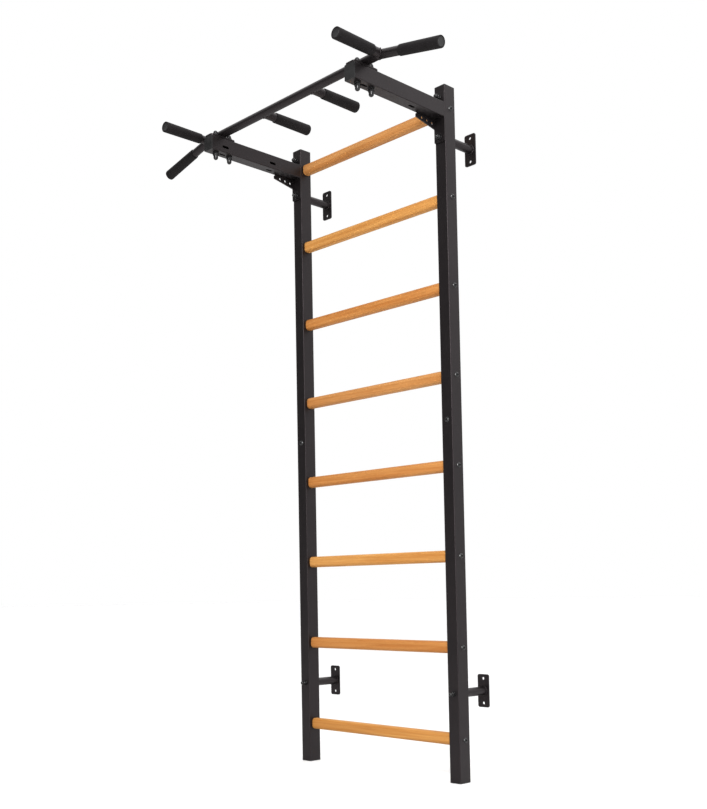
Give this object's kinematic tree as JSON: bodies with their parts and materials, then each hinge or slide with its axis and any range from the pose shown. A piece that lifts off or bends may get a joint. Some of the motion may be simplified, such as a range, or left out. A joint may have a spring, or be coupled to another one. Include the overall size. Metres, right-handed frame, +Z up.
{
  "type": "wall ladder with pull-up bar",
  "caption": "Wall-mounted exercise ladder: two steel posts, wooden rungs, wall brackets and a bolt-on pull-up bar with rubber grips",
  "frame": {"origin": "on the wall, on the centre line between the posts, level with the middle of the lower pair of wall plates", "axes": "+X to the right of a person facing the wall, +Y into the wall, +Z up"},
  "size_m": [1.3696, 0.763, 2.4],
  "materials": {
    "black_steel": "satin fine-texture powder coat",
    "beech": "clear-lacquered beech",
    "grip_rubber": "matte rubber sleeve",
    "black_plastic": "moulded, satin",
    "black_fastener": "glossy black oxide",
    "plain_steel": "zinc-plated"
  },
  "bodies": {
    "root": {"arm_bolts": "black_fastener", "arm_front_caps": "black_plastic", "arm_gusset_left": "black_steel", "arm_gusset_right": "black_steel", "arm_plate_left": "black_steel", "arm_plate_right": "black_steel", "arm_tube_left": "black_steel", "arm_tube_right": "black_steel", "front_grip_left": "grip_rubber", "front_grip_right": "grip_rubber", "front_handle_left": "black_steel", "front_handle_right": "black_steel", "grip_end_plugs": "black_plastic", "inner_grip_left": "grip_rubber", "inner_grip_right": "grip_rubber", "inner_handle_left": "black_steel", "inner_handle_right": "black_steel", "joint_bolts": "black_fastener", "joint_nuts": "plain_steel", "post_domed_nuts": "black_fastener", "post_feet": "black_plastic", "post_joiner_left": "black_steel", "post_joiner_right": "black_steel", "post_left_lower": "black_steel", "post_left_upper": "black_steel", "post_right_lower": "black_steel", "post_right_upper": "black_steel", "post_top_caps": "black_plastic", "post_washers": "black_fastener", "pull_up_bar": "black_steel", "rung_1": "beech", "rung_2": "beech", "rung_3": "beech", "rung_4": "beech", "rung_5": "beech", "rung_6": "beech", "rung_7": "beech", "rung_8": "beech", "rung_inserts": "plain_steel", "rung_screws": "black_fastener", "saddle_domed_nuts": "black_fastener", "saddle_plate_left": "black_steel", "saddle_plate_right": "black_steel", "saddle_rods": "plain_steel", "saddle_washers": "black_fastener", "side_grip_left": "grip_rubber", "side_grip_right": "grip_rubber", "side_handle_left": "black_steel", "side_handle_right": "black_steel", "wall_plate_lower_left": "black_steel", "wall_plate_lower_right": "black_steel", "wall_plate_upper_left": "black_steel", "wall_plate_upper_right": "black_steel", "wall_spacer_lower_left": "black_steel", "wall_spacer_lower_right": "black_steel", "wall_spacer_upper_left": "black_steel", "wall_spacer_upper_right": "black_steel", "wall_studs": "plain_steel"}
  },
  "joints": []
}
